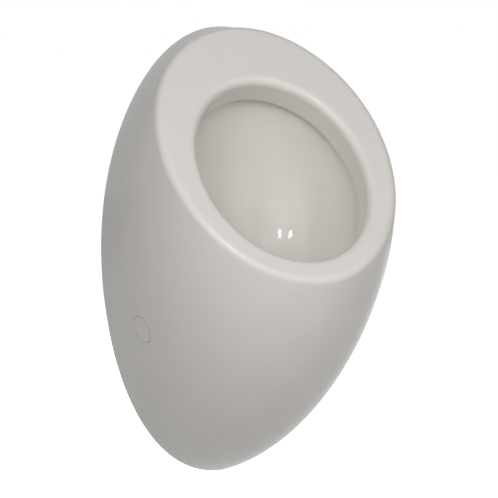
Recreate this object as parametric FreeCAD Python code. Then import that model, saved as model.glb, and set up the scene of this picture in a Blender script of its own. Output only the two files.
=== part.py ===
import FreeCAD, Part

import math
import os

from FreeCAD import Vector

# A wall hung urinal of fired china: an egg-shaped body that stands out from the wall, a broad
# sloping rim with an oval mouth, a collar hanging inside the mouth, and the bowl behind it.
# The water and waste fittings and the fixings lie hidden between the bowl and the wall.
# Millimetres. X runs left to right, the wall is the plane y = 0, the front is at negative y and
# Z is up. The origin is where the waste pipe's axis meets the wall.

# --- driving sizes: china body ---
body_height = 590.0
hinge_rise = 61.0            # every section of the body swings about one level line above its top
rim_tilt = 45.0              # the rim face, from level
rim_top_reach = 79.0         # from that line down to the top of the rim face
lip_reach = 465.0            # from that line down to the lip
rim_widest_reach = 270.0
wall_widest_reach = 343.0
wall_half_width = 160.0
rim_half_width = 149.0
side_swell = 11.0            # how far the flanks bow out between wall and rim
underside_dip = 2.0          # how far the underside is drawn in between wall and rim
top_crown = 6.0              # how far the top is raised between wall and rim
rim_edge_radius = 10.0
wall_edge_radius = 3.0
shell_wall = 12.0
hollow_share = 0.8           # the hollow behind the bowl ends at this share of the swing

# --- driving sizes: mouth, collar and bowl ---
band_top = 86.0              # width of the rim face above the mouth
band_lip = 32.0              # and at the lip
band_side = 42.0             # and at the sides
collar_depth = 38.0
collar_wall = 9.0
collar_edge_radius = 3.5
flush_gap = 8.0              # between the collar and the bowl, where the flush water runs down
rim_plate = 12.0
bowl_wall = 10.0
bowl_floor_rise = 52.0       # above the waste pipe's axis
bowl_back_depth = 64.0       # from the wall
bowl_floor_front = 169.0     # from the wall
bowl_heel = 10.0             # how far the back wall draws in at the floor
bowl_front_belly = 9.0
bowl_floor_half_width = 58.0
wall_corner = 9.0            # a higher value draws the back wall's top in more sharply
floor_corner = 9.0           # the same for the front wall's foot
heel_corner = 12.0           # the same for the back wall's foot
side_corner = 4.6            # the same for the side walls' foot
sump_wall = 16.0             # from the floor to the level seat under the bowl
sump_front = 236.0           # from the wall
sump_half_width = 90.0

# --- driving sizes: waste and trap ---
drain_depth = 105.0          # from the wall
flange_radius = 33.0
flange_plate = 2.5
flange_ring_thick = 1.5
flange_ring_width = 8.5
drain_hole_radius = 22.5
waste_tube_radius = 21.0
waste_tube_wall = 2.2
waste_ledge_depth = 9.0      # from the flange's top down to the ledge that holds the dip tube
waste_ledge_width = 2.6
waste_tube_length = 35.0
trap_gasket_thick = 3.0
trap_gasket_width = 11.0
trap_flange_radius = 34.0
trap_flange_thick = 5.0
trap_neck_wall = 3.8
trap_radius = 30.0
trap_wall = 2.5
trap_shoulder_drop = 15.0    # from the seat under the bowl to the bottle's shoulder
trap_bottom_height = 82.0    # above the body's lowest point
trap_bottom_radius = 14.0
trap_taper = 24.0            # height of the bottle's tapered foot
branch_radius = 20.5
branch_wall = 2.5
branch_end = 56.0            # from the wall
dip_radius = 15.0
dip_wall = 1.5
dip_collar_thick = 2.5
dip_ring_thick = 1.5
seal_depth = 50.0            # water standing above the dip tube's end
dip_clearance = 10.5         # under the dip tube's end
strainer_radius = 27.0
strainer_plate = 1.5
strainer_seat = 2.0          # depth of its seat in the flange
strainer_skirt_wall = 1.2
strainer_hole_radius = 1.6
strainer_hole_rings = (6, 12)
strainer_ring_pitch = 6.5
strainer_knob_radius = 3.5
strainer_knob_height = 4.0

# --- driving sizes: outlet pipe ---
outlet_ring_thick = 2.0
outlet_collar_thick = 4.0
outlet_neck_radius = 20.0
outlet_wall = 2.2
outlet_radius = 25.0
outlet_cone_start = 42.0     # from the wall
outlet_cone_end = 28.0
outlet_spigot = 60.0         # how far the pipe stands out behind the wall plane
outlet_thread_depth = 1.5
spigot_chamfer = 3.0
nut_wall = 4.0
nut_grip = 13.0              # how much of the branch's thread the coupling nut covers
nut_ribs = 8
nut_rib_width = 6.0
nut_rib_height = 2.0

# --- driving sizes: water inlet ---
inlet_drop = 70.0            # below the body's top
inlet_boss_radius = 26.0
inlet_boss_end = 30.0        # from the wall
inlet_seat_radius = 17.5
inlet_seat_depth = 32.0
inlet_bore_radius = 10.0
inlet_bore_run = 20.0        # past the bowl's back wall
flush_pipe_radius = 9.0
flush_pipe_wall = 1.5
flush_pipe_end_gap = 2.0     # from the pipe's end to the bottom of the sleeve's seat
sleeve_end_gap = 1.0
sleeve_taper = 1.5
sleeve_lip = 4.0
sleeve_lip_thick = 3.0
nipple_thread_radius = 10.48
nipple_spigot = 16.0         # how far it stands out behind the wall plane
nipple_collar = 4.0
nipple_hex = 27.0            # across flats
nipple_hex_length = 8.0
nipple_stub_radius = 13.0
nipple_stub_length = 6.5
inlet_nut_hex = 32.0
inlet_nut_wall = 3.0
inlet_nut_play = 1.0         # left between the nut and the nipple's hexagon
pipe_collar_thick = 2.0
pipe_collar_inset = 2.0
inlet_ring_thick = 2.5

# --- driving sizes: upper fixing ---
hanger_offset = 70.0         # from the centre line
hanger_width = 36.0
hanger_plate = 5.0
hanger_screw_drop = 150.0    # below the body's top
hanger_foot = 24.0           # the plate's length below its screw
hanger_shelf_drop = 115.0    # below the body's top
hanger_lip = 14.0
rib_thick = 15.0
rib_width = 40.0
channel_wall = 2.0
channel_floor = 3.0
hanger_screw_radius = 4.0
hanger_screw_length = 60.0
hanger_head_hex = 13.0
hanger_head_height = 5.5
wall_screw_shoulder = 0.3    # how much thicker a wall screw is ahead of the wall plane than behind it
washer_thick = 1.6
hanger_washer_radius = 8.5

# --- driving sizes: lower fixing and cover caps ---
cap_height = 230.0           # above the body's lowest point
cap_depth = 113.0            # from the wall
cap_radius = 18.0
cap_plate = 3.0
cap_skirt_radius = 14.5
cap_skirt_wall = 1.8
cap_skirt_length = 5.0
side_boss_radius = 22.0
side_boss_face = 122.0       # from the centre line to the boss's inner face
bush_seat = 131.0            # from the centre line to the seat of the bush
bush_flange_radius = 10.0
bush_flange_thick = 2.0
bush_barrel_radius = 7.0
clamp_screw_radius = 3.0
clamp_screw_length = 28.0
clamp_head_radius = 5.5
clamp_head_height = 3.6
clamp_socket_hex = 4.0
clamp_nut_hex = 10.0
clamp_nut_thick = 5.0
bracket_plate = 4.0
bracket_arm_height = 30.0
bracket_arm_end = 130.0      # from the wall
bracket_foot_width = 36.0
bracket_foot_height = 50.0
bracket_screw_inset = 20.0   # from the arm to the wall screw
bracket_screw_radius = 3.0
bracket_screw_length = 50.0
bracket_head_hex = 10.0
bracket_head_height = 4.0
bracket_washer_radius = 6.5

# --- clearances ---
running_gap = 0.3            # between curved faces of pieces that part
seat_gap = 0.2               # between curved faces of pieces that stay together
bolt_gap = 0.5               # round a screw in its hole
edge_break = 1.0             # the chamfer on turned edges
overrun = 1.0                # how far a cutter runs past the face it cuts

# --- places worked out from the sizes ---
dip_end = branch_wall - branch_radius - seal_depth
trap_bottom = dip_end - dip_clearance - trap_wall
base = trap_bottom - trap_bottom_height
top = base + body_height
hinge_height = body_height + hinge_rise
swing = math.radians(90.0 - rim_tilt)
mouth_half_length = (lip_reach - band_lip - rim_top_reach - band_top) / 2
mouth_reach = rim_top_reach + band_top + mouth_half_length
mouth_half_width = rim_half_width - band_side
floor_z = bowl_floor_rise
seat_z = floor_z - sump_wall
cap_z = base + cap_height
shelf_z = top - hanger_shelf_drop
drain = Vector(0, -drain_depth, 0)
section_count = 4
oval_points = 12
bowl_steps = (0.0, 0.05, 0.15, 0.3, 0.5, 0.7, 0.85, 1.0)     # closer where the bowl turns more

X = Vector(1, 0, 0)
Y = Vector(0, 1, 0)
Z = Vector(0, 0, 1)
rim_down = Vector(0, -math.sin(swing), -math.cos(swing))
rim_inward = Vector(0, math.cos(swing), -math.sin(swing))
hinge = Vector(0, 0, top + hinge_rise)


def mix(first, last, share):
    return first + (last - first) * share


# ---------------------------------------------------------------- general shapes

def oval(start, along, near, far, widest, half_width):
    """A closed smooth outline: two half ellipses that share their widest line."""
    points = []
    for index in range(oval_points):
        angle = 2 * math.pi * index / oval_points
        rise = math.cos(angle)
        half_length = far - widest if rise > 0 else widest - near
        reach = widest + half_length * rise
        points.append(start + along * reach + X * (half_width * math.sin(angle)))
    curve = Part.BSplineCurve()
    steps = [index / oval_points for index in range(oval_points + 1)]
    curve.interpolate(Points=points, PeriodicFlag=True, Parameters=steps)
    return Part.Wire([curve.toShape()])


def prism(outline, direction, length):
    return Part.Face(outline).extrude(direction * length)


def turned(outline, centre, axis):
    """A solid of revolution from (radius, height) corners, about an axis through centre."""
    side = X if abs(axis.x) < 0.5 else Z
    corners = [centre + side * radius + axis * height for radius, height in outline]
    face = Part.Face(Part.makePolygon(corners + corners[:1]))
    return face.revolve(centre, axis, 360)


def disc(radius, length, centre, axis):
    return Part.makeCylinder(radius, length, centre, axis)


def ring(outer, inner, length, centre, axis):
    return disc(outer, length, centre, axis).cut(disc(inner, length, centre, axis))


def hexagon(across_flats, length, centre, axis):
    side = X if abs(axis.x) < 0.5 else Z
    other = axis.cross(side)
    radius = across_flats / math.sqrt(3)
    corners = []
    for index in range(6):
        angle = math.radians(60 * index)
        corners.append(centre + side * (radius * math.cos(angle)) + other * (radius * math.sin(angle)))
    return prism(Part.makePolygon(corners + corners[:1]), axis, length)


def block(x_range, y_range, z_range):
    low = Vector(x_range[0], y_range[0], z_range[0])
    return Part.makeBox(x_range[1] - x_range[0], y_range[1] - y_range[0], z_range[1] - z_range[0], low)


def edges_at(shape, point, normal):
    """The closed edges of a shape that lie in one plane."""
    found = []
    for edge in shape.Edges:
        marks = [edge.valueAt(mix(edge.FirstParameter, edge.LastParameter, share / 5)) for share in range(6)]
        if all(abs((mark - point).dot(normal)) < 0.01 for mark in marks):
            found.append(edge)
    return found


def mirrored(shape):
    return shape.mirror(Vector(0, 0, 0), X)


def pair(shape):
    """A piece on the right and its twin on the left, as two separate solids."""
    return Part.makeCompound([shape, mirrored(shape)])


# ---------------------------------------------------------------- china body

def body_section(share, wall):
    """One section of the body, swung out from the wall by a share of the rim's own swing."""
    turn = swing * share
    along = Vector(0, -math.sin(turn), -math.cos(turn))
    bow = 4 * share * (1 - share)
    near = mix(hinge_rise, rim_top_reach, share) - top_crown * bow + wall
    far = mix(hinge_height, lip_reach, share) - underside_dip * bow - wall
    half_width = mix(wall_half_width, rim_half_width, share) + side_swell * bow - wall
    widest = mix(wall_widest_reach, rim_widest_reach, share)
    return oval(hinge, along, near, far, widest, half_width)


def body_solid(wall, last_share):
    sections = [body_section(last_share * index / section_count, wall) for index in range(section_count + 1)]
    return Part.makeLoft(sections, True, False)


def mouth_outline(grow, depth):
    start = hinge + rim_inward * depth
    near = mouth_reach - mouth_half_length - grow
    far = mouth_reach + mouth_half_length + grow
    return oval(start, rim_down, near, far, mouth_reach, mouth_half_width + grow)


def bowl_solid(grow):
    """The bowl: ovals that swing about a level line in front of the lip, from under the rim to the floor."""
    opening = collar_wall + flush_gap
    start = hinge + rim_inward * rim_plate
    to_floor = (start.z - floor_z) / math.cos(swing)
    pivot = start + rim_down * to_floor
    rim_back = to_floor - (mouth_reach - mouth_half_length - opening)
    rim_front = to_floor - (mouth_reach + mouth_half_length + opening)
    rim_side = mouth_half_width + opening
    wall_run = -pivot.y - bowl_back_depth
    floor_front = -pivot.y - bowl_floor_front
    lean = wall_run / math.cos(math.radians(rim_tilt)) - rim_back
    sections = []
    for share in bowl_steps:
        angle = math.radians(rim_tilt) * share
        along = Vector(0, math.cos(angle), math.sin(angle))
        heel = bowl_heel * (1 - share) ** heel_corner
        back = wall_run / math.cos(angle) - lean * share ** wall_corner - heel
        belly = bowl_front_belly * math.sin(math.pi * share)
        front = mix(rim_front, floor_front, (1 - share) ** floor_corner) - belly
        half_width = mix(rim_side, bowl_floor_half_width, (1 - share) ** side_corner)
        middle = (front + back) / 2
        sections.append(oval(pivot, along, front - grow, back + grow, middle, half_width + grow))
    return Part.makeLoft(sections, True, False)


def sump_block():
    """The thick floor under the bowl, with a level seat for the trap."""
    near = bowl_back_depth - bowl_wall
    middle = (near + sump_front) / 2
    outline = oval(Vector(0, 0, seat_z), Vector(0, -1, 0), near, sump_front, middle, sump_half_width)
    return prism(outline, Z, 2 * sump_wall)


def inlet_boss():
    length = bowl_back_depth + bowl_wall / 2 - inlet_boss_end
    return disc(inlet_boss_radius, length, inlet_point(inlet_boss_end), -Y)


def hanger_rib():
    """A rib under the top of the shell, close to the wall, that hangs on the bracket's shelf."""
    far = hanger_shelf_depth() + rib_thick
    sides = (hanger_offset - rib_width / 2, hanger_offset + rib_width / 2)
    heights = (shelf_z + channel_floor, top)
    return block(sides, (-far, -hanger_shelf_depth()), heights)


def hanger_shelf_depth():
    """From the wall to the near face of the rib."""
    return hanger_plate + channel_wall


def flank_point(outer):
    """Where the cap's centre lies on the right flank, and the way the surface faces there."""
    probe = Part.makeLine(clamp_point(0), clamp_point(2 * wall_half_width))
    place = clamp_point(outer.common(probe).BoundBox.XMax)
    best = min(outer.Faces, key=lambda face: face.distToShape(Part.Vertex(place))[0])
    u, v = best.Surface.parameter(place)
    facing = best.normalAt(u, v)
    return place, facing if facing.x > 0 else -facing


def side_boss():
    return disc(side_boss_radius, bush_seat + shell_wall - side_boss_face, clamp_point(side_boss_face), X)


def cap_recess(place, facing):
    """The flush cap's seat, the well for its skirt and the level hole for the clamp screw's bush."""
    outside = place + facing * cap_radius
    seat_depth = cap_plate + running_gap
    seat = disc(cap_radius + running_gap, cap_radius + seat_depth, outside, -facing)
    well_depth = seat_depth + cap_skirt_length + running_gap
    well = disc(cap_skirt_radius + running_gap, cap_radius + well_depth, outside, -facing)
    spot = disc(bush_flange_radius + bolt_gap, place.x - bush_seat, clamp_point(bush_seat), X)
    start = side_boss_face - overrun
    hole = disc(bush_barrel_radius + seat_gap, bush_seat - start + overrun, clamp_point(start), X)
    return seat.fuse([well, spot, hole])


def china_body(outer, place, facing):
    """The whole fired piece: shell, rim, collar, bowl, boss, ribs and seats in one solid."""
    mouth = prism(mouth_outline(0, 0), rim_inward, collar_depth + overrun)
    shell = outer.cut(mouth)
    shell = shell.makeFillet(rim_edge_radius, edges_at(shell, hinge, rim_inward))
    shell = shell.makeFillet(wall_edge_radius, edges_at(shell, Vector(0, 0, 0), Y))
    collar = prism(mouth_outline(collar_wall, -overrun), rim_inward, collar_depth + overrun)
    lower = hinge + rim_inward * collar_depth
    collar = collar.makeFillet(collar_edge_radius, edges_at(collar, lower, rim_inward))
    bowl = bowl_solid(0).cut(collar)
    keep = bowl_solid(bowl_wall).fuse([sump_block(), inlet_boss()])
    for extra in (hanger_rib(), side_boss()):
        keep = keep.fuse([extra, mirrored(extra)])
    hollow = body_solid(shell_wall, hollow_share).cut(keep)
    body = shell.cut(hollow).cut(bowl)
    body = body.cut(cap_recess(place, facing))
    body = body.cut(mirrored(cap_recess(place, facing)))
    drain_hole = disc(drain_hole_radius, sump_wall + 2 * overrun, drain + Z * (seat_z - overrun), Z)
    flange_seat = disc(flange_radius + running_gap, sump_wall, drain + Z * (floor_z - flange_drop()), Z)
    inlet_seat = disc(inlet_seat_radius, inlet_seat_depth, inlet_point(inlet_boss_end), -Y)
    bore_length = bowl_back_depth + inlet_bore_run - inlet_boss_end
    inlet_bore = disc(inlet_bore_radius, bore_length, inlet_point(inlet_boss_end), -Y)
    return body.cut([drain_hole, flange_seat, inlet_seat, inlet_bore])


def flange_drop():
    return flange_plate + flange_ring_thick


# ---------------------------------------------------------------- waste and trap

def waste_tube_bore():
    return waste_tube_radius - waste_tube_wall


def ledge_bore():
    return waste_tube_bore() - waste_ledge_width


def ledge_z():
    return floor_z - waste_ledge_depth


def waste_flange():
    """The flange in the bowl's floor, with a seat for the strainer and a tube that screws into the trap."""
    foot = floor_z - flange_plate
    end = floor_z - waste_tube_length
    corners = [
        (waste_tube_bore(), floor_z - strainer_seat),
        (strainer_radius + running_gap, floor_z - strainer_seat),
        (strainer_radius + running_gap, floor_z),
        (flange_radius - edge_break, floor_z),
        (flange_radius, floor_z - edge_break),
        (flange_radius, foot),
        (waste_tube_radius, foot),
        (waste_tube_radius, end),
        (ledge_bore(), end),
        (ledge_bore(), ledge_z()),
        (waste_tube_bore(), ledge_z()),
    ]
    return turned(corners, drain, Z)


def flange_ring():
    outer = flange_radius - edge_break
    return ring(outer, outer - flange_ring_width, flange_ring_thick, drain + Z * (floor_z - flange_drop()), Z)


def trap_gasket():
    outer = trap_flange_radius
    foot = drain + Z * (seat_z - trap_gasket_thick)
    return ring(outer, outer - trap_gasket_width, trap_gasket_thick, foot, Z)


def trap_body():
    """The trap's bottle, with a flange under the bowl, a threaded neck and a branch towards the wall."""
    face = seat_z - trap_gasket_thick
    flange_foot = face - trap_flange_thick
    neck_bore = waste_tube_radius + seat_gap
    neck = neck_bore + trap_neck_wall
    shoulder = seat_z - trap_shoulder_drop
    bottom = trap_bottom
    bend = bottom + trap_taper
    outside = [
        (0, bottom),
        (trap_bottom_radius, bottom),
        (trap_radius, bend),
        (trap_radius, shoulder),
        (neck, shoulder),
        (neck, flange_foot),
        (trap_flange_radius, flange_foot),
        (trap_flange_radius, face),
        (0, face),
    ]
    inside = [
        (0, bottom + trap_wall),
        (trap_bottom_radius - trap_wall / 2, bottom + trap_wall),
        (trap_radius - trap_wall, bend + trap_wall / 2),
        (trap_radius - trap_wall, shoulder - trap_wall),
        (neck_bore, shoulder - trap_wall),
        (neck_bore, face + overrun),
        (0, face + overrun),
    ]
    hollow = turned(inside, drain, Z)
    bottle = turned(outside, drain, Z)
    branch = disc(branch_radius, drain_depth - branch_end, wall_point(drain_depth), Y)
    bore_length = drain_depth - branch_end + overrun
    bore = disc(branch_radius - branch_wall, bore_length, wall_point(drain_depth), Y)
    thread = disc(outlet_thread_radius(), nut_grip, wall_point(branch_end + nut_grip), Y)
    return bottle.fuse([branch, thread]).cut(hollow).cut(bore)


def outlet_thread_radius():
    return branch_radius + outlet_thread_depth


def dip_tube():
    """The tube that makes the water seal: its collar hangs on the ledge in the waste flange."""
    under = ledge_z() + dip_ring_thick
    rest = under + dip_collar_thick
    collar = waste_tube_bore() - running_gap
    corners = [
        (dip_radius - dip_wall, dip_end),
        (dip_radius, dip_end),
        (dip_radius, under),
        (collar, under),
        (collar, rest),
        (dip_radius - dip_wall, rest),
    ]
    return turned(corners, drain, Z)


def dip_ring():
    outer = waste_tube_bore() - running_gap
    return ring(outer, dip_radius + seat_gap, dip_ring_thick, drain + Z * ledge_z(), Z)


def strainer():
    """A disc with rings of holes and a knob to lift it by, on a skirt that drops into the waste flange."""
    foot = floor_z - strainer_seat
    plate = disc(strainer_radius, strainer_plate, drain + Z * foot, Z)
    skirt_radius = waste_tube_bore() - running_gap
    skirt_foot = ledge_z() + dip_ring_thick + dip_collar_thick
    skirt = ring(skirt_radius, skirt_radius - strainer_skirt_wall, foot - skirt_foot, drain + Z * skirt_foot, Z)
    face = foot + strainer_plate
    knob = disc(strainer_knob_radius, strainer_knob_height, drain + Z * face, Z)
    knob_end = edges_at(knob, drain + Z * (face + strainer_knob_height), Z)
    knob = knob.makeChamfer(edge_break, knob_end)
    holes = []
    for row, count in enumerate(strainer_hole_rings):
        reach = strainer_ring_pitch * (row + 1)
        for index in range(count):
            angle = 2 * math.pi * index / count
            place = drain + Vector(reach * math.cos(angle), reach * math.sin(angle), foot)
            holes.append(disc(strainer_hole_radius, strainer_plate, place, Z))
    return plate.cut(holes).fuse([skirt, knob])


# ---------------------------------------------------------------- outlet pipe

def wall_point(depth):
    """A point on the waste pipe's axis, at a depth from the wall."""
    return Vector(0, -depth, 0)


def outlet_ring():
    bore = branch_radius - branch_wall
    return ring(outlet_collar_radius(), bore, outlet_ring_thick, wall_point(branch_end), Y)


def outlet_collar_radius():
    return outlet_thread_radius() - bolt_gap


def outlet_pipe():
    """The pipe to the wall: a collar for the coupling nut, a narrow neck, a cone and a spigot."""
    start = outlet_ring_thick - branch_end
    corners = [
        (outlet_neck_radius - outlet_wall, start),
        (outlet_collar_radius(), start),
        (outlet_collar_radius(), start + outlet_collar_thick),
        (outlet_neck_radius, start + outlet_collar_thick),
        (outlet_neck_radius, -outlet_cone_start),
        (outlet_radius, -outlet_cone_end),
        (outlet_radius, outlet_spigot - spigot_chamfer),
        (outlet_radius - edge_break, outlet_spigot),
        (outlet_radius - outlet_wall, outlet_spigot),
        (outlet_radius - outlet_wall, -outlet_cone_end),
        (outlet_neck_radius - outlet_wall, -outlet_cone_start),
    ]
    return turned(corners, wall_point(0), Y)


def outlet_nut():
    """The coupling nut that draws the outlet pipe's collar on to the branch, ribbed for the hand."""
    start = -branch_end - nut_grip
    shoulder = outlet_ring_thick + outlet_collar_thick - branch_end
    bore = outlet_thread_radius() + seat_gap
    outer = bore + nut_wall
    corners = [
        (bore, start),
        (outer, start),
        (outer, shoulder + nut_wall),
        (outlet_neck_radius + bolt_gap, shoulder + nut_wall),
        (outlet_neck_radius + bolt_gap, shoulder),
        (bore, shoulder),
    ]
    length = shoulder + nut_wall - start
    rib = block((bore + nut_wall / 2, outer + nut_rib_height), (start, start + length),
                (-nut_rib_width / 2, nut_rib_width / 2))
    ribs = [rib.rotated(wall_point(0), Y, 360 * index / nut_ribs) for index in range(nut_ribs)]
    return turned(corners, wall_point(0), Y).fuse(ribs)


# ---------------------------------------------------------------- water inlet

def inlet_point(depth):
    return Vector(0, -depth, top - inlet_drop)


def inlet_sleeve():
    """The rubber sleeve pushed into the china's inlet: it seals on the flush pipe with a lip outside."""
    end = inlet_boss_end
    outer = inlet_seat_radius - seat_gap
    corners = [
        (flush_pipe_radius + seat_gap, sleeve_end_gap - end - inlet_seat_depth),
        (outer - sleeve_taper, sleeve_end_gap - end - inlet_seat_depth),
        (outer, -end - inlet_seat_depth / 2),
        (outer, -end),
        (outer + sleeve_lip, -end),
        (outer + sleeve_lip, sleeve_lip_thick - end),
        (flush_pipe_radius + seat_gap, sleeve_lip_thick - end),
    ]
    return turned(corners, inlet_point(0), Y)


def pipe_collar():
    return nipple_stub_radius - pipe_collar_inset


def flush_pipe():
    """The pipe from the nipple into the bowl's inlet, with a collar that the coupling nut holds."""
    inner = flush_pipe_end_gap - inlet_boss_end - inlet_seat_depth
    face = -nipple_face()
    corners = [
        (flush_pipe_radius - flush_pipe_wall, inner),
        (flush_pipe_radius, inner),
        (flush_pipe_radius, face - inlet_ring_thick - pipe_collar_thick),
        (pipe_collar(), face - inlet_ring_thick - pipe_collar_thick),
        (pipe_collar(), face - inlet_ring_thick),
        (flush_pipe_radius - flush_pipe_wall, face - inlet_ring_thick),
    ]
    return turned(corners, inlet_point(0), Y)


def nipple_face():
    """From the wall to the nipple's inner end."""
    return nipple_collar + nipple_hex_length + nipple_stub_length


def inlet_ring():
    bore = flush_pipe_radius - flush_pipe_wall
    return ring(pipe_collar(), bore, inlet_ring_thick, inlet_point(nipple_face() + inlet_ring_thick), Y)


def inlet_nipple():
    """The threaded nipple that screws into the wall's valve, with a hexagon and a stub for the nut."""
    bore = flush_pipe_radius - flush_pipe_wall
    hexed = hexagon(nipple_hex, nipple_hex_length, inlet_point(nipple_collar + nipple_hex_length), Y)
    spigot = disc(nipple_thread_radius, nipple_spigot + nipple_collar, inlet_point(nipple_collar), Y)
    stub = disc(nipple_stub_radius, nipple_stub_length, inlet_point(nipple_face()), Y)
    hole = disc(bore, nipple_face() + nipple_spigot, inlet_point(nipple_face()), Y)
    return hexed.fuse([spigot, stub]).cut(hole)


def inlet_nut():
    """The hexagon nut that draws the flush pipe's collar on to the nipple."""
    shoulder = nipple_face() + inlet_ring_thick + pipe_collar_thick
    far = shoulder + inlet_nut_wall
    near = nipple_collar + nipple_hex_length + inlet_nut_play
    blank = hexagon(inlet_nut_hex, far - near, inlet_point(far), Y)
    thread = disc(nipple_stub_radius + seat_gap, shoulder, inlet_point(shoulder), Y)
    hole = disc(flush_pipe_radius + bolt_gap, far, inlet_point(far), Y)
    return blank.cut([thread, hole])


# ---------------------------------------------------------------- upper fixing

def hanger_bracket():
    """A plate on the wall, bent forward to a shelf with a turned-up lip that the china hangs on."""
    near = hanger_offset - hanger_width / 2
    far = hanger_offset + hanger_width / 2
    lip_back = hanger_plate + rib_thick + 2 * channel_wall
    foot = top - hanger_screw_drop - hanger_foot
    corners = [
        (0, foot),
        (hanger_plate, foot),
        (hanger_plate, shelf_z - hanger_plate),
        (lip_back + hanger_plate, shelf_z - hanger_plate),
        (lip_back + hanger_plate, shelf_z + hanger_lip),
        (lip_back, shelf_z + hanger_lip),
        (lip_back, shelf_z),
        (0, shelf_z),
    ]
    points = [Vector(near, -depth, height) for depth, height in corners]
    plate = prism(Part.makePolygon(points + points[:1]), X, far - near)
    hole_radius = wall_screw_hole(hanger_screw_radius)
    hole = disc(hole_radius, 4 * hanger_plate, hanger_screw_point(2 * hanger_plate), Y)
    return plate.cut(hole)


def hanger_channel():
    """The rubber channel between the bracket and the china's rib."""
    sides = (hanger_offset - hanger_width / 2, hanger_offset + hanger_width / 2)
    lip_back = hanger_plate + rib_thick + 2 * channel_wall
    outer = block(sides, (-lip_back, -hanger_plate), (shelf_z, shelf_z + hanger_lip))
    inner = block(sides, (-lip_back + channel_wall, -hanger_plate - channel_wall),
                  (shelf_z + channel_floor, shelf_z + 2 * hanger_lip))
    return outer.cut(inner)


def hanger_screw_point(depth):
    return Vector(hanger_offset, -depth, top - hanger_screw_drop)


def wall_screw(point, seat, radius, length, hex_size, head):
    """A hexagon-head screw with a shoulder in the bracket; its thread stands out behind the wall."""
    shank = disc(radius, length, point(seat), Y)
    shoulder = disc(radius + wall_screw_shoulder, seat, point(seat), Y)
    cap = hexagon(hex_size, head, point(seat + head), Y)
    return cap.fuse([shank, shoulder])


def wall_screw_hole(radius):
    """The radius of the hole in a bracket or washer that a wall screw's shoulder passes."""
    return radius + wall_screw_shoulder + bolt_gap


def hanger_screw():
    return wall_screw(hanger_screw_point, hanger_plate + washer_thick, hanger_screw_radius,
                      hanger_screw_length, hanger_head_hex, hanger_head_height)


def hanger_washer():
    hole = wall_screw_hole(hanger_screw_radius)
    return ring(hanger_washer_radius, hole, washer_thick, hanger_screw_point(hanger_plate + washer_thick), Y)


# ---------------------------------------------------------------- lower fixing and cover caps

def arm_face():
    """From the centre line to the bracket arm's outer face, which the boss stands against."""
    return side_boss_face - seat_gap


def side_bracket():
    """An angle bracket on the wall whose arm reaches forward to the clamp screw."""
    inner = arm_face() - bracket_plate
    heights = (cap_z - bracket_arm_height / 2, cap_z + bracket_arm_height / 2)
    arm = block((inner, arm_face()), (-bracket_arm_end, 0), heights)
    foot_heights = (cap_z - bracket_foot_height / 2, cap_z + bracket_foot_height / 2)
    foot = block((arm_face() - bracket_foot_width, arm_face()), (-bracket_plate, 0), foot_heights)
    clamp_hole = disc(clamp_screw_radius + bolt_gap, bracket_plate, clamp_point(inner), X)
    screw_hole_radius = wall_screw_hole(bracket_screw_radius)
    screw_hole = disc(screw_hole_radius, bracket_plate, bracket_screw_point(bracket_plate), Y)
    return arm.fuse(foot).cut([clamp_hole, screw_hole])


def bracket_screw_point(depth):
    return Vector(arm_face() - bracket_screw_inset, -depth, cap_z)


def bracket_screw():
    return wall_screw(bracket_screw_point, bracket_plate + washer_thick, bracket_screw_radius,
                      bracket_screw_length, bracket_head_hex, bracket_head_height)


def bracket_washer():
    hole = wall_screw_hole(bracket_screw_radius)
    return ring(bracket_washer_radius, hole, washer_thick, bracket_screw_point(bracket_plate + washer_thick), Y)


def clamp_point(reach):
    return Vector(reach, -cap_depth, cap_z)


def clamp_bush():
    """The plastic bush that keeps the clamp screw off the china."""
    flange = disc(bush_flange_radius, bush_flange_thick, clamp_point(bush_seat), X)
    barrel = disc(bush_barrel_radius, bush_seat - side_boss_face, clamp_point(side_boss_face), X)
    length = bush_seat + bush_flange_thick - side_boss_face
    hole = disc(clamp_screw_radius + seat_gap, length, clamp_point(side_boss_face), X)
    return flange.fuse(barrel).cut(hole)


def clamp_screw():
    """The screw that draws the china against the bracket, with a six-sided socket in its head."""
    seat = bush_seat + bush_flange_thick
    head = disc(clamp_head_radius, clamp_head_height, clamp_point(seat), X)
    shank = disc(clamp_screw_radius, clamp_screw_length, clamp_point(seat - clamp_screw_length), X)
    socket = hexagon(clamp_socket_hex, clamp_head_height, clamp_point(seat + clamp_head_height / 2), X)
    return head.fuse(shank).cut(socket)


def clamp_nut():
    inner = arm_face() - bracket_plate - clamp_nut_thick
    blank = hexagon(clamp_nut_hex, clamp_nut_thick, clamp_point(inner), X)
    return blank.cut(disc(clamp_screw_radius + seat_gap / 4, clamp_nut_thick, clamp_point(inner), X))


def cover_cap(outer, place, facing):
    """The flush cap over the clamp screw: its face follows the flank, and a skirt holds it in its well."""
    blank = disc(cap_radius, cap_plate + cap_radius, place + facing * cap_radius, -facing)
    plate = blank.common(outer)
    root = place - facing * (cap_plate / 2)
    length = cap_plate / 2 + cap_skirt_length
    skirt = ring(cap_skirt_radius, cap_skirt_radius - cap_skirt_wall, length, root, -facing)
    return plate.fuse(skirt)


# ---------------------------------------------------------------- the assembly

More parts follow.
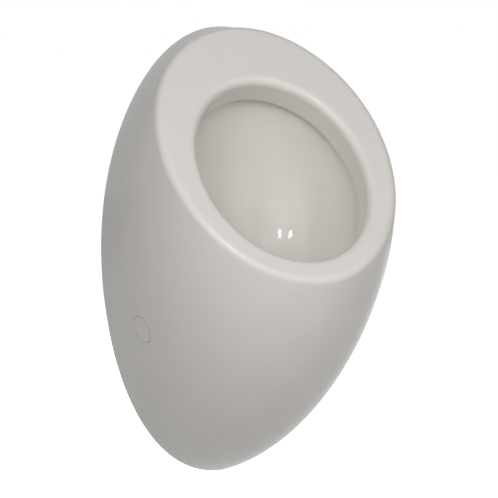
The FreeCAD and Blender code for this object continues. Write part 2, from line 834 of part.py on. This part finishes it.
def make_all():
    outer = body_solid(0, 1.0)
    place, facing = flank_point(outer)
    cap = cover_cap(outer, place, facing)
    print("right cap centre", place, "axis", facing)
    return {
        "china_body": china_body(outer, place, facing),
        "cover_cap_right": cap,
        "cover_cap_left": mirrored(cap),
        "strainer": strainer(),
        "waste_flange": waste_flange(),
        "waste_flange_ring": flange_ring(),
        "trap_gasket": trap_gasket(),
        "trap_body": trap_body(),
        "dip_tube": dip_tube(),
        "dip_tube_ring": dip_ring(),
        "outlet_ring": outlet_ring(),
        "outlet_nut": outlet_nut(),
        "outlet_pipe": outlet_pipe(),
        "inlet_sleeve": inlet_sleeve(),
        "flush_pipe": flush_pipe(),
        "inlet_ring": inlet_ring(),
        "inlet_nut": inlet_nut(),
        "inlet_nipple": inlet_nipple(),
        "hanger_bracket_right": hanger_bracket(),
        "hanger_bracket_left": mirrored(hanger_bracket()),
        "hanger_channels": pair(hanger_channel()),
        "hanger_screws": pair(hanger_screw()),
        "hanger_washers": pair(hanger_washer()),
        "side_bracket_right": side_bracket(),
        "side_bracket_left": mirrored(side_bracket()),
        "bracket_screws": pair(bracket_screw()),
        "bracket_washers": pair(bracket_washer()),
        "clamp_bushes": pair(clamp_bush()),
        "clamp_screws": pair(clamp_screw()),
        "clamp_nuts": pair(clamp_nut()),
    }


os.makedirs("parts", exist_ok=True)
for name, shape in make_all().items():
    print(name, len(shape.Solids), "solid", round(shape.Volume / 1000, 2), "cm3", shape.isValid())
    shape.exportStep("parts/" + name + ".step")
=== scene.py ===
import math

import bmesh
import bpy
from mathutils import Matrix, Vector


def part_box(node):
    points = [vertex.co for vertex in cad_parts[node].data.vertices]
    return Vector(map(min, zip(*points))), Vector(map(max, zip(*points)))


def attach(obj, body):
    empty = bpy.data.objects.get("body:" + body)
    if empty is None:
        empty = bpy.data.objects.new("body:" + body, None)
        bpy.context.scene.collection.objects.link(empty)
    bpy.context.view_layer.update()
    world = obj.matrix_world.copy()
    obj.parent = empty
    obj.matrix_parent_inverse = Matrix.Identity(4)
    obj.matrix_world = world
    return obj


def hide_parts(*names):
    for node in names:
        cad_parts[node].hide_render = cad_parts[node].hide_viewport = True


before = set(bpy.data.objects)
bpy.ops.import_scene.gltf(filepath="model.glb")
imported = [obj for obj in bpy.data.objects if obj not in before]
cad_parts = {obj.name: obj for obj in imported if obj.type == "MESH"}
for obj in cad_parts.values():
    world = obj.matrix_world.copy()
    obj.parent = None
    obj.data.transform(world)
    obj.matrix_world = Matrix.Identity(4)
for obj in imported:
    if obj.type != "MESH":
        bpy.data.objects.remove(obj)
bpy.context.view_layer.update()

bpy.ops.object.select_all(action="DESELECT")


# ---------------------------------------------------------------- china body
# The whole urinal is one piece of fired vitreous china, slip cast in a plaster mould and sprayed with
# a warm white glaze. The rear edge is ground flat for the wall, and the hollow behind the bowl stays raw.

MM = 0.001


def linear(colour):
    """An sRGB hex colour as the linear values that a shader takes."""
    parts = [int(colour[index:index + 2], 16) / 255 for index in (1, 3, 5)]
    return [part / 12.92 if part <= 0.04045 else ((part + 0.055) / 1.055) ** 2.4 for part in parts] + [1.0]


def add(tree, kind, inputs=(), **settings):
    """Adds a node, sets what it has, and fills its inputs with constants or with other nodes' outputs."""
    node = tree.nodes.new("ShaderNode" + kind)
    for name, value in settings.items():
        setattr(node, name, value)
    for name, value in dict(inputs).items():
        if isinstance(value, bpy.types.NodeSocket):
            tree.links.new(value, node.inputs[name])
        else:
            node.inputs[name].default_value = value
    return node


def finish_for(name):
    """A new material with an empty node tree, and its output node."""
    material = bpy.data.materials.new(name)
    material.use_nodes = True
    material.node_tree.nodes.clear()
    return material, material.node_tree, add(material.node_tree, "OutputMaterial")


def place_in(tree, cell, centre=(0, 0, 0), turn=(0, 0, 0)):
    """Object coordinates about a centre, counted in cells of a real size along each axis."""
    place = add(tree, "TexCoord").outputs["Object"]
    mapping = {"Vector": place, "Location": centre, "Rotation": turn, "Scale": cell}
    return add(tree, "Mapping", mapping, vector_type="TEXTURE").outputs["Vector"]


def spread(tree, value, low, high, start=0.0, end=1.0):
    """A value from start to end, spread over low to high and held there."""
    limits = {"Value": value, "From Min": start, "From Max": end, "To Min": low, "To Max": high}
    return add(tree, "MapRange", limits).outputs["Result"]


def blend_of(tree, share, first, second):
    """Two colours mixed by a pattern."""
    return add(tree, "MixRGB", {"Fac": share, "Color1": first, "Color2": second}).outputs["Color"]


# Glaze: a thin glass coat, so the colour is even and the gloss is sharp. Close up it has a slight
# waviness, like orange peel, and a few tiny iron specks.
GLAZE_WHITE = "#EAE6E1"
GLAZE_SHADE = "#E4E0DA"
GLAZE_SPECK = "#8C857B"
GLAZE_WAVE = 45 * MM
GLAZE_WAVE_DEPTH = 0.5 * MM
GLAZE_PEEL = 5 * MM
GLAZE_PEEL_DEPTH = 0.05 * MM
GLAZE_SMOOTH = 0.05
GLAZE_DULL = 0.09
SPECK_SPACING = 38 * MM
SPECK_SIZE = 0.35 * MM
SPECK_SHARE = 0.7            # how much of its own colour a speck shows through the glaze
SPECK_FADE = 1.6
GLAZE_IOR = 1.45
GLAZE_SHEEN = 0.32           # under the neutral 0.5, so the glaze mirrors the air a little less

# The real bowl's wall leans back towards its foot, and this one stands nearly upright. A broad bump,
# round on this radius and growing below this height, turns the light as that lean would. It only
# shades: the mesh keeps the shape of the solid.
LEAN_TOP = 272 * MM
LEAN_ROUND = 286 * MM


def glazed(name, leaning):
    """The glaze, with the lean of the bowl's wall in its shading or without it."""
    material, tree, out = finish_for(name)
    cloud = add(tree, "TexNoise", {"Vector": place_in(tree, (GLAZE_WAVE,) * 3), "Scale": 1.0, "Detail": 2.0})
    peel = add(tree, "TexNoise", {"Vector": place_in(tree, (GLAZE_PEEL,) * 3), "Scale": 1.0, "Detail": 1.0})
    cells = add(tree, "TexVoronoi", {"Vector": place_in(tree, (SPECK_SPACING,) * 3), "Scale": 1.0})
    speck_edge = SPECK_SIZE / SPECK_SPACING
    speck = spread(tree, cells.outputs["Distance"], SPECK_SHARE, 0.0, speck_edge, SPECK_FADE * speck_edge)
    tint = blend_of(tree, cloud.outputs["Fac"], linear(GLAZE_WHITE), linear(GLAZE_SHADE))
    colour = blend_of(tree, speck, tint, linear(GLAZE_SPECK))
    wave_bump = add(tree, "Bump", {"Height": cloud.outputs["Fac"], "Strength": 0.35,
                                   "Distance": GLAZE_WAVE_DEPTH})
    if leaning:
        height = add(tree, "SeparateXYZ", {0: add(tree, "TexCoord").outputs["Object"]}).outputs["Z"]
        depth = add(tree, "Math", {0: LEAN_TOP, 1: height}, operation="SUBTRACT", use_clamp=True)
        square = add(tree, "Math", {0: depth.outputs[0], 1: 2.0}, operation="POWER")
        lean = add(tree, "Math", {0: square.outputs[0], 1: 2 * LEAN_ROUND}, operation="DIVIDE")
        lean_bump = add(tree, "Bump", {"Height": lean.outputs[0], "Strength": 1.0, "Distance": 1.0})
        tree.links.new(lean_bump.outputs["Normal"], wave_bump.inputs["Normal"])
    bump = add(tree, "Bump", {"Height": peel.outputs["Fac"], "Strength": 0.12, "Distance": GLAZE_PEEL_DEPTH,
                              "Normal": wave_bump.outputs["Normal"]})
    gloss = spread(tree, peel.outputs["Fac"], GLAZE_SMOOTH, GLAZE_DULL)
    shader = add(tree, "BsdfPrincipled", {"Base Color": colour, "IOR": GLAZE_IOR, "Roughness": gloss,
                                          "Specular IOR Level": GLAZE_SHEEN,
                                          "Normal": bump.outputs["Normal"]})
    tree.links.new(shader.outputs["BSDF"], out.inputs["Surface"])
    return material


glaze = glazed("vitreous_china_glaze", False)
bowl_glaze = glazed("vitreous_china_glaze_in_the_bowl", True)

# Biscuit: fired china without glaze, so it is chalky and a little grey, with the grain of the slip
# and faint sponge marks from the wet finishing.
BISCUIT_PALE = "#DCD6CA"
BISCUIT_GREY = "#C9C2B5"
BISCUIT_GRAIN = 0.8 * MM
BISCUIT_GRAIN_DEPTH = 0.1 * MM
BISCUIT_SMOOTH = 0.75
BISCUIT_ROUGH = 0.92
SPONGE_MARK = 18 * MM
SPONGE_MARK_DEPTH = 0.6 * MM

biscuit, tree, out = finish_for("raw_fired_biscuit")
grain = add(tree, "TexNoise", {"Vector": place_in(tree, (BISCUIT_GRAIN,) * 3), "Scale": 1.0, "Detail": 3.0})
marks = add(tree, "TexNoise", {"Vector": place_in(tree, (SPONGE_MARK, SPONGE_MARK, 3 * SPONGE_MARK)),
                               "Scale": 1.0, "Detail": 4.0, "Distortion": 0.6})
colour = blend_of(tree, marks.outputs["Fac"], linear(BISCUIT_PALE), linear(BISCUIT_GREY))
mark_bump = add(tree, "Bump", {"Height": marks.outputs["Fac"], "Strength": 0.4,
                               "Distance": SPONGE_MARK_DEPTH})
bump = add(tree, "Bump", {"Height": grain.outputs["Fac"], "Strength": 0.3, "Distance": BISCUIT_GRAIN_DEPTH,
                          "Normal": mark_bump.outputs["Normal"]})
dry = spread(tree, grain.outputs["Fac"], BISCUIT_SMOOTH, BISCUIT_ROUGH)
shader = add(tree, "BsdfPrincipled", {"Base Color": colour, "IOR": 1.5, "Normal": bump.outputs["Normal"],
                                      "Roughness": dry})
tree.links.new(shader.outputs["BSDF"], out.inputs["Surface"])

JOIN_WITHIN = 0.0005 * MM


def merged_copy(node, name):
    """A copy of a piece whose loose triangles are joined, with the smooth normals that they had."""
    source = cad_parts[node]
    facing = [corner.vector.copy() for corner in source.data.corner_normals]
    piece = bpy.data.objects.new(name, source.data.copy())
    bpy.context.scene.collection.objects.link(piece)
    mesh = bmesh.new()
    mesh.from_mesh(piece.data)
    bmesh.ops.remove_doubles(mesh, verts=mesh.verts, dist=JOIN_WITHIN)
    mesh.to_mesh(piece.data)
    mesh.free()
    if len(piece.data.loops) == len(facing):
        piece.data.normals_split_custom_set(facing)
    return piece


def near_line(point, start, along, radius, reach):
    """Whether a point lies inside a cylinder from start, along a unit direction, of a radius and a reach."""
    depth = (point - start).dot(along)
    return 0 <= depth <= reach and (point - start - along * depth).length < radius


china = merged_copy("china_body", "china_body_fired")
china.data.materials.clear()
finishes = [glaze, biscuit, bowl_glaze]
for finish in finishes:
    china.data.materials.append(finish)

# The raw faces are the ground rear edge and all of the hollow. The drain, the water inlet and the two
# screw holes join the hollow to the glazed side, so a gate across each keeps the two apart.
GROUND_EDGE = 0.05 * MM
FACES_WALL = 0.999
GATE = 2 * MM
GATE_REACH = 200 * MM
INLET_GATE = 18 * MM
SCREW_GATE = 23 * MM
SCREW_GATE_REACH = 100 * MM
WELL_START = 122.5 * MM
HOLLOW_MIDDLE = Vector((0, -55 * MM, 200 * MM))

flange_low, flange_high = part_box("waste_flange")
sleeve_low, sleeve_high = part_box("inlet_sleeve")
bush_low, bush_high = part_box("clamp_bushes")
drain = (flange_low + flange_high) / 2
inlet = (sleeve_low + sleeve_high) / 2
bush = (bush_low + bush_high) / 2
drain_start = Vector((drain.x, drain.y, flange_low.z))
drain_gate = (flange_high.x - drain.x) + GATE
inlet_start = Vector((0, sleeve_high.y - GATE, inlet.z))
gates = [(drain_start, Vector((0, 0, 1)), drain_gate, GATE_REACH),
         (inlet_start, Vector((0, -1, 0)), INLET_GATE, GATE_REACH)]
for side in (1, -1):
    well_start = Vector((side * WELL_START, bush.y, bush.z))
    gates.append((well_start, Vector((side, 0, 0)), SCREW_GATE, SCREW_GATE_REACH))

mesh = bmesh.new()
mesh.from_mesh(china.data)
mesh.faces.ensure_lookup_table()
middles = [face.calc_center_median() for face in mesh.faces]
closed = {face.index for face in mesh.faces if any(near_line(middles[face.index], *gate) for gate in gates)}
ground = {face.index for face in mesh.faces
          if abs(face.normal.y) > FACES_WALL and abs(middles[face.index].y) < GROUND_EDGE}
shut = closed | ground
first = min((face for face in mesh.faces if face.index not in shut),
            key=lambda face: (middles[face.index] - HOLLOW_MIDDLE).length)
raw, waiting = {first.index}, [first]
while waiting:
    for edge in waiting.pop().edges:
        for face in edge.link_faces:
            if face.index not in raw and face.index not in shut:
                raw.add(face.index)
                waiting.append(face)
bare = raw | ground

# The bowl's wall is what is left of the glazed faces that look at its axis.
BOWL_HALF = 121 * MM
BOWL_FOOT = 48 * MM
BOWL_AXIS = Vector((0, -130 * MM, 0))
bowl = {face.index for face in mesh.faces if face.index not in bare
        and abs(middles[face.index].x) < BOWL_HALF and BOWL_FOOT < middles[face.index].z < LEAN_TOP
        and (BOWL_AXIS - middles[face.index]).xy.dot(face.normal.xy) > 0}
mesh.free()
for faces, finish in ((bare, biscuit), (bowl, bowl_glaze)):
    place = finishes.index(finish)
    for index in faces:
        china.data.polygons[index].material_index = place
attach(china, "body")
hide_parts("china_body")


# ---------------------------------------------------------------- cover caps
# Two flush caps close the holes over the lower fixing screws. Each is moulded in ABS, coloured like
# the glaze, and its skirt presses into a well in the china.

def dress(material, *nodes):
    """Gives one finish to pieces that keep their CAD shape."""
    for node in nodes:
        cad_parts[node].data.materials[0] = material


DRIFT = 20                   # grains of the mould's texture to one drift of the colour


def moulded(name, pale, shade, grain, smooth, rough, depth, ior):
    """A moulded plastic: an even colour that drifts a little, and the fine texture of its mould."""
    material, tree, out = finish_for(name)
    broad = place_in(tree, (DRIFT * grain,) * 3)
    drift = add(tree, "TexNoise", {"Vector": broad, "Scale": 1.0, "Detail": 2.0})
    skin = add(tree, "TexNoise", {"Vector": place_in(tree, (grain,) * 3), "Scale": 1.0, "Detail": 3.0})
    colour = blend_of(tree, drift.outputs["Fac"], linear(pale), linear(shade))
    bump = add(tree, "Bump", {"Height": skin.outputs["Fac"], "Strength": 0.3, "Distance": depth})
    shader = add(tree, "BsdfPrincipled", {"Base Color": colour, "IOR": ior, "Normal": bump.outputs["Normal"],
                                          "Roughness": spread(tree, skin.outputs["Fac"], smooth, rough)})
    tree.links.new(shader.outputs["BSDF"], out.inputs["Surface"])
    return material


# Polished ABS is nearly as glossy as the glaze, but a shade warmer and without its depth. A thin dark
# ring of painted shade round the cap's edge stands for the shadow in the joint. The coordinates lose their
# signs first, which folds the left side on to the right, so that one pattern serves both caps.
CAP_JOINT_SHADE = "#8B877F"
CAP_SHADE_SHARE = 0.7              # how far the painted shade in the joint darkens the cap's colour
CAP_AXIS = Vector((0.95408, -0.16394, -0.25071))
CAP_MIDDLE = Vector((147.74, -112.71, 67.44)) * MM
CAP_UNSHADED = 16.9 * MM        # from the cap's axis out to where the painted shade begins
CAP_EDGE = 17.6 * MM

cap_gloss = moulded("polished_abs_moulded", "#E8E4DF", "#E3DFD9", grain=1.5 * MM, smooth=0.12, rough=0.18,
                    depth=0.01 * MM, ior=1.54)
tree = cap_gloss.node_tree
shader = next(node for node in tree.nodes if node.type == "BSDF_PRINCIPLED")
cap_colour = shader.inputs["Base Color"].links[0].from_socket
folded_middle = (CAP_MIDDLE.x, -CAP_MIDDLE.y, CAP_MIDDLE.z)
folded_axis = (CAP_AXIS.x, -CAP_AXIS.y, CAP_AXIS.z)
folded = add(tree, "VectorMath", {0: add(tree, "TexCoord").outputs["Object"]}, operation="ABSOLUTE")
offset = add(tree, "VectorMath", {0: folded.outputs[0], 1: folded_middle}, operation="SUBTRACT")
across = add(tree, "VectorMath", {0: offset.outputs[0], 1: folded_axis}, operation="CROSS_PRODUCT")
reach = add(tree, "VectorMath", {0: across.outputs[0]}, operation="LENGTH").outputs["Value"]
# Painted shade: the cap's colour darkens towards its edge, where the joint's shadow falls.
dust_and_shade = spread(tree, reach, 0.0, CAP_SHADE_SHARE, CAP_UNSHADED, CAP_EDGE)
tree.links.new(blend_of(tree, dust_and_shade, cap_colour, linear(CAP_JOINT_SHADE)), shader.inputs["Base Color"])
dress(cap_gloss, "cover_cap_right", "cover_cap_left")


# ---------------------------------------------------------------- strainer
# The loose disc that keeps cigarette ends and cleaning blocks out of the trap. It is pressed from
# stainless steel, faced on a lathe to a satin finish, and lifted by its knob.

ONE_RING = 2 * math.pi / 20     # the scale at which the ring pattern repeats once in a cell
SMEAR = 9 * MM


def turned_metal(name, pale, shade, centre, spacing, smooth, rough, depth):
    """Metal faced on a lathe: fine rings about its axis, broken up by small changes of shine."""
    material, tree, out = finish_for(name)
    rings = add(tree, "TexWave", {"Vector": place_in(tree, (spacing,) * 3, centre), "Scale": ONE_RING,
                                  "Distortion": 0.6, "Detail": 2.0, "Detail Scale": 0.4},
                wave_type="RINGS", rings_direction="Z")
    smear = add(tree, "TexNoise", {"Vector": place_in(tree, (SMEAR,) * 3), "Scale": 1.0, "Detail": 4.0})
    colour = blend_of(tree, smear.outputs["Fac"], linear(pale), linear(shade))
    bump = add(tree, "Bump", {"Height": rings.outputs["Fac"], "Strength": 0.4, "Distance": depth})
    worn = spread(tree, smear.outputs["Fac"], smooth, rough)
    shader = add(tree, "BsdfPrincipled", {"Base Color": colour, "Metallic": 1.0, "Roughness": worn,
                                          "Normal": bump.outputs["Normal"]})
    tree.links.new(shader.outputs["BSDF"], out.inputs["Surface"])
    return material


# Satin steel is grey and soft, with rings that catch the light. Real ones are finer than these.
satin_steel = turned_metal("stainless_steel_satin_turned", "#CFCFCC", "#B9BAB9", centre=tuple(drain),
                           spacing=0.7 * MM, smooth=0.24, rough=0.36, depth=0.03 * MM)
dress(satin_steel, "strainer")


# ---------------------------------------------------------------- waste flange
# A brass flange, turned and chromium plated, that clamps the bowl's floor from above and screws into
# the trap's neck below.

def plated(name, pale, shade, cell, smooth, rough):
    """Bright plating over turned brass: a mirror with faint water marks."""
    material, tree, out = finish_for(name)
    film = add(tree, "TexNoise", {"Vector": place_in(tree, (cell,) * 3), "Scale": 1.0, "Detail": 5.0,
                                  "Distortion": 0.8})
    colour = blend_of(tree, film.outputs["Fac"], linear(pale), linear(shade))
    bump = add(tree, "Bump", {"Height": film.outputs["Fac"], "Strength": 0.05, "Distance": 0.05 * MM})
    marks = spread(tree, film.outputs["Fac"], smooth, rough, start=0.35, end=0.75)
    shader = add(tree, "BsdfPrincipled", {"Base Color": colour, "Metallic": 1.0, "Roughness": marks,
                                          "Normal": bump.outputs["Normal"]})
    tree.links.new(shader.outputs["BSDF"], out.inputs["Surface"])
    return material


# Chromium reflects a cold grey, a little bluer than steel.
chrome = plated("chromium_plate_on_brass", "#DADCDF", "#CBCED2", cell=12 * MM, smooth=0.05, rough=0.14)
dress(chrome, "waste_flange")


# ---------------------------------------------------------------- trap and dip tube
# The bottle trap hangs under the bowl on the waste flange. It and the dip tube that makes its water
# seal are injection moulded in white polypropylene, and the coupling nut is moulded like them.

# Polypropylene is waxy and soft to the eye, with a fine spark-eroded texture from its mould.
white_plastic = moulded("white_polypropylene_moulded", "#E4E4E1", "#DADAD6", grain=0.9 * MM, smooth=0.38,
                        rough=0.5, depth=0.04 * MM, ior=1.49)
dress(white_plastic, "trap_body", "dip_tube", "outlet_nut")


# ---------------------------------------------------------------- outlet pipe
# A grey polypropylene pipe that runs from the coupling nut through the wall into the waste socket.
# It is drawn through a die, which leaves fine lines along it.

PIPE_PALE = "#9DA1A4"
PIPE_SHADE = "#8E9295"
DRAW_LINE = (1.2 * MM, 60 * MM, 1.2 * MM)
PIPE_DRIFT = 25 * MM

pipe_grey, tree, out = finish_for("grey_polypropylene_extruded")
lines = add(tree, "TexNoise", {"Vector": place_in(tree, DRAW_LINE), "Scale": 1.0, "Detail": 3.0})
drift = add(tree, "TexNoise", {"Vector": place_in(tree, (PIPE_DRIFT,) * 3), "Scale": 1.0, "Detail": 2.0})
colour = blend_of(tree, drift.outputs["Fac"], linear(PIPE_PALE), linear(PIPE_SHADE))
bump = add(tree, "Bump", {"Height": lines.outputs["Fac"], "Strength": 0.35, "Distance": 0.06 * MM})
shader = add(tree, "BsdfPrincipled", {"Base Color": colour, "IOR": 1.49, "Normal": bump.outputs["Normal"],
                                      "Roughness": spread(tree, lines.outputs["Fac"], 0.36, 0.5)})
tree.links.new(shader.outputs["BSDF"], out.inputs["Surface"])
dress(pipe_grey, "outlet_pipe")


# ---------------------------------------------------------------- seals and sleeves
# The flat rings and the gasket are cut from black EPDM sheet. The inlet sleeve is moulded in the
# same rubber, and the channels that cushion the china on its brackets are drawn in a greyer one.

DUST_PATCH = 8 * MM


def rubbery(name, dark, dusty, cell, depth):
    """Vulcanised rubber: matt, with a dusty bloom that gathers in patches."""
    material, tree, out = finish_for(name)
    bloom = add(tree, "TexNoise", {"Vector": place_in(tree, (DUST_PATCH,) * 3), "Scale": 1.0, "Detail": 4.0})
    skin = add(tree, "TexNoise", {"Vector": place_in(tree, cell), "Scale": 1.0, "Detail": 2.0})
    dust_and_shade = spread(tree, bloom.outputs["Fac"], 0.0, 0.8, start=0.4, end=0.8)
    colour = blend_of(tree, dust_and_shade, linear(dark), linear(dusty))
    bump = add(tree, "Bump", {"Height": skin.outputs["Fac"], "Strength": 0.4, "Distance": depth})
    shader = add(tree, "BsdfPrincipled", {"Base Color": colour, "IOR": 1.52,
                                          "Normal": bump.outputs["Normal"],
                                          "Roughness": spread(tree, bloom.outputs["Fac"], 0.55, 0.8)})
    tree.links.new(shader.outputs["BSDF"], out.inputs["Surface"])
    return material


sheet_rubber = rubbery("black_epdm_sheet", "#1E1E1F", "#3A3A3A", cell=(0.6 * MM,) * 3, depth=0.03 * MM)
dress(sheet_rubber, "waste_flange_ring", "trap_gasket", "dip_tube_ring", "outlet_ring", "inlet_ring")
sleeve_rubber = rubbery("black_epdm_moulded", "#232325", "#3C3C3E", cell=(1.5 * MM,) * 3,
                        depth=0.02 * MM)
dress(sleeve_rubber, "inlet_sleeve")
channel_rubber = rubbery("grey_rubber_extruded", "#3B3B3D", "#555557", cell=(40 * MM, 0.8 * MM, 0.8 * MM),
                         depth=0.05 * MM)
dress(channel_rubber, "hanger_channels")


# ---------------------------------------------------------------- water inlet
# The nipple screws into the valve in the wall, and a hexagon nut draws the flush pipe's collar on to
# it. All three are turned from brass and chromium plated, a little brighter than the waste.

bright_chrome = plated("bright_chromium_plate", "#E0E2E5", "#D2D5D9", cell=7 * MM, smooth=0.04, rough=0.1)
dress(bright_chrome, "flush_pipe", "inlet_nut", "inlet_nipple")


# ---------------------------------------------------------------- brackets
# The hangers and the side brackets are pressed from sheet steel and zinc plated after bending. The
# rubber channels lie in the hangers' shelves.

# Zinc grows in flat crystals, so the grey changes from patch to patch, under fine rolling lines.
ZINC_PALE = "#B9BDC0"
ZINC_SHADE = "#8F9498"
ZINC_CRYSTAL = 7 * MM
ROLLING_LINE = (0.5 * MM, 0.5 * MM, 45 * MM)

zinc_sheet, tree, out = finish_for("zinc_plated_pressed_steel")
crystals = add(tree, "TexVoronoi", {"Vector": place_in(tree, (ZINC_CRYSTAL,) * 3), "Scale": 1.0})
patch = add(tree, "SeparateColor", {"Color": crystals.outputs["Color"]}).outputs["Red"]
lines = add(tree, "TexNoise", {"Vector": place_in(tree, ROLLING_LINE), "Scale": 1.0, "Detail": 2.0})
colour = blend_of(tree, patch, linear(ZINC_PALE), linear(ZINC_SHADE))
bump = add(tree, "Bump", {"Height": lines.outputs["Fac"], "Strength": 0.3, "Distance": 0.03 * MM})
shader = add(tree, "BsdfPrincipled", {"Base Color": colour, "Metallic": 1.0,
                                      "Normal": bump.outputs["Normal"],
                                      "Roughness": spread(tree, patch, 0.32, 0.52)})
tree.links.new(shader.outputs["BSDF"], out.inputs["Surface"])
dress(zinc_sheet, "hanger_bracket_right", "hanger_bracket_left", "side_bracket_right", "side_bracket_left")


# ---------------------------------------------------------------- screws, washers and nuts
# Hexagon-head wall screws hold the four brackets, and a socket-head screw on each side draws the
# china back through a nylon bush. The steel is bright zinc plated and passivated.

# Passivation gives the zinc a faint straw and blue bloom.
SCREW_STRAW = "#C9C3AE"
SCREW_BLUE = "#B7BCC4"
BLOOM = 5 * MM
SCUFF = 0.7 * MM

zinc_bright, tree, out = finish_for("bright_zinc_passivated")
bloom = add(tree, "TexNoise", {"Vector": place_in(tree, (BLOOM,) * 3), "Scale": 1.0, "Detail": 3.0})
scuffs = add(tree, "TexNoise", {"Vector": place_in(tree, (SCUFF,) * 3), "Scale": 1.0, "Detail": 2.0})
colour = blend_of(tree, bloom.outputs["Fac"], linear(SCREW_STRAW), linear(SCREW_BLUE))
bump = add(tree, "Bump", {"Height": scuffs.outputs["Fac"], "Strength": 0.2, "Distance": 0.02 * MM})
shader = add(tree, "BsdfPrincipled", {"Base Color": colour, "Metallic": 1.0,
                                      "Normal": bump.outputs["Normal"],
                                      "Roughness": spread(tree, scuffs.outputs["Fac"], 0.22, 0.38)})
tree.links.new(shader.outputs["BSDF"], out.inputs["Surface"])
dress(zinc_bright, "hanger_screws", "hanger_washers", "bracket_screws", "bracket_washers", "clamp_screws",
      "clamp_nuts")

# Natural nylon is milky and yellows a little towards its thick parts.
nylon = moulded("natural_nylon_moulded", "#DEDBCF", "#D2CDBC", grain=1.2 * MM, smooth=0.3, rough=0.42,
                depth=0.03 * MM, ior=1.53)
dress(nylon, "clamp_bushes")


# ---------------------------------------------------------------- floor, light and camera
# A plain pale studio: a floor and white air. Large soft boxes stand in front, two narrow windows put
# the small highlights on the glaze, and a lamp behind shows the back.

FLOOR_DROP = 0.49            # the floor below the waste pipe's axis, with the lip at its usual height
FLOOR_HALF = 6.0
FLOOR_PAINT = "#CDCDCD"
FLOOR_LOOKED_AT = 0.97       # what the lamps' own light on the floor brings up to white
FLOOR_MIRRORED = 0.5
AIR_LEVEL = 0.05
AIR_LOOKED_AT = 1.0
AIR_MIRRORED = 0.62          # less than white, as a room is that the glaze's edges mirror
WHITE = (1, 1, 1, 1)


def shown(tree, looked_at, mirrored):
    """How bright a backdrop is to the camera, and how bright to what mirrors it or lets it through."""
    ray = add(tree, "LightPath")
    bounced = add(tree, "Math", {0: ray.outputs["Is Glossy Ray"], 1: ray.outputs["Is Transmission Ray"]},
                  operation="MAXIMUM")
    bounced = add(tree, "Math", {0: bounced.outputs[0], 1: mirrored}, operation="MULTIPLY")
    direct = add(tree, "Math", {0: ray.outputs["Is Camera Ray"], 1: looked_at}, operation="MULTIPLY")
    return add(tree, "Math", {0: direct.outputs[0], 1: bounced.outputs[0]}, operation="ADD").outputs[0]


bpy.ops.mesh.primitive_plane_add(size=2 * FLOOR_HALF, location=(0, 0, -FLOOR_DROP))
floor = bpy.context.object
floor.name = "studio_floor"
studio, tree, out = finish_for("studio_floor_paint")
paint = add(tree, "BsdfDiffuse", {"Color": linear(FLOOR_PAINT)})
lift = add(tree, "Emission", {"Color": WHITE, "Strength": shown(tree, FLOOR_LOOKED_AT, FLOOR_MIRRORED)})
both = add(tree, "AddShader", {0: paint.outputs["BSDF"], 1: lift.outputs["Emission"]})
tree.links.new(both.outputs[0], out.inputs["Surface"])
floor.data.materials.append(studio)

world = bpy.data.worlds.new("studio_air")
bpy.context.scene.world = world
world.use_nodes = True
tree = world.node_tree
tree.nodes.clear()
level = add(tree, "Math", {0: shown(tree, AIR_LOOKED_AT, AIR_MIRRORED), 1: AIR_LEVEL}, operation="MAXIMUM")
air = add(tree, "Background", {"Color": WHITE, "Strength": level.outputs[0]})
add(tree, "OutputWorld", {"Surface": air.outputs["Background"]})

LIT_MIDDLE = Vector((0, -0.15, 0.13))
LAMP_DISTANCE = 2.6
SOFT_BOX = (2.3, 2.3)
WINDOW = (0.15, 0.22)
REAR_BOX = (1.4, 1.4)


def lamp_at(name, azimuth, elevation, size, power):
    """A soft rectangular lamp that looks at the object's middle from a compass angle and a height."""
    turn, rise = math.radians(azimuth), math.radians(elevation)
    towards = Vector((math.sin(turn) * math.cos(rise), -math.cos(turn) * math.cos(rise), math.sin(rise)))
    lamp = bpy.data.lights.new(name, "AREA")
    lamp.shape = "RECTANGLE"
    lamp.size, lamp.size_y = size
    lamp.energy = power
    holder = bpy.data.objects.new(name, lamp)
    holder.location = LIT_MIDDLE + towards * LAMP_DISTANCE
    holder.rotation_euler = (-towards).to_track_quat("-Z", "Y").to_euler()
    bpy.context.scene.collection.objects.link(holder)
    return holder


# Each lamp has its compass angle and its height in degrees, its size, and its power in watts.
LAMPS = [
    ("lamp_front", -10, 20, SOFT_BOX, 15),
    ("lamp_left_high", -35, 38, SOFT_BOX, 21),
    ("lamp_left", -50, 22, SOFT_BOX, 10),
    ("lamp_right", 35, 25, SOFT_BOX, 15),
    ("window_left", -28.5, 34, WINDOW, 3.2),
    ("window_right", -41.5, 35, WINDOW, 3.2),
    ("lamp_rear", 156, 8, REAR_BOX, 24),
]
lamps = {lamp[0]: lamp_at(*lamp) for lamp in LAMPS}
# The rear lamp isn't mirrored in the glaze's edges, and isn't seen itself.
lamps["lamp_rear"].visible_glossy = False
lamps["lamp_rear"].visible_camera = False

# The camera stands to the left and a little above, far off, with a long lens. Lens and film are in mm.
AZIMUTH = math.radians(-24.0)
ELEVATION = math.radians(11.45)
DISTANCE = 3.5
LENS = 200.1
FILM = 36.0
AIM = Vector((0, -0.11, 0.15659))
ASIDE = -1.35 * MM
right = Vector((math.cos(AZIMUTH), math.sin(AZIMUTH), 0))
back = Vector((math.sin(AZIMUTH) * math.cos(ELEVATION), -math.cos(AZIMUTH) * math.cos(ELEVATION),
               math.sin(ELEVATION)))
aim = AIM + right * ASIDE
camera_data = bpy.data.cameras.new("camera")
camera_data.lens = LENS
camera_data.sensor_width = FILM
camera = bpy.data.objects.new("camera", camera_data)
camera.location = aim + back * DISTANCE
camera.rotation_euler = (-back).to_track_quat("-Z", "Y").to_euler()
bpy.context.scene.collection.objects.link(camera)
bpy.context.scene.camera = camera
bpy.context.scene.view_settings.view_transform = "Standard"
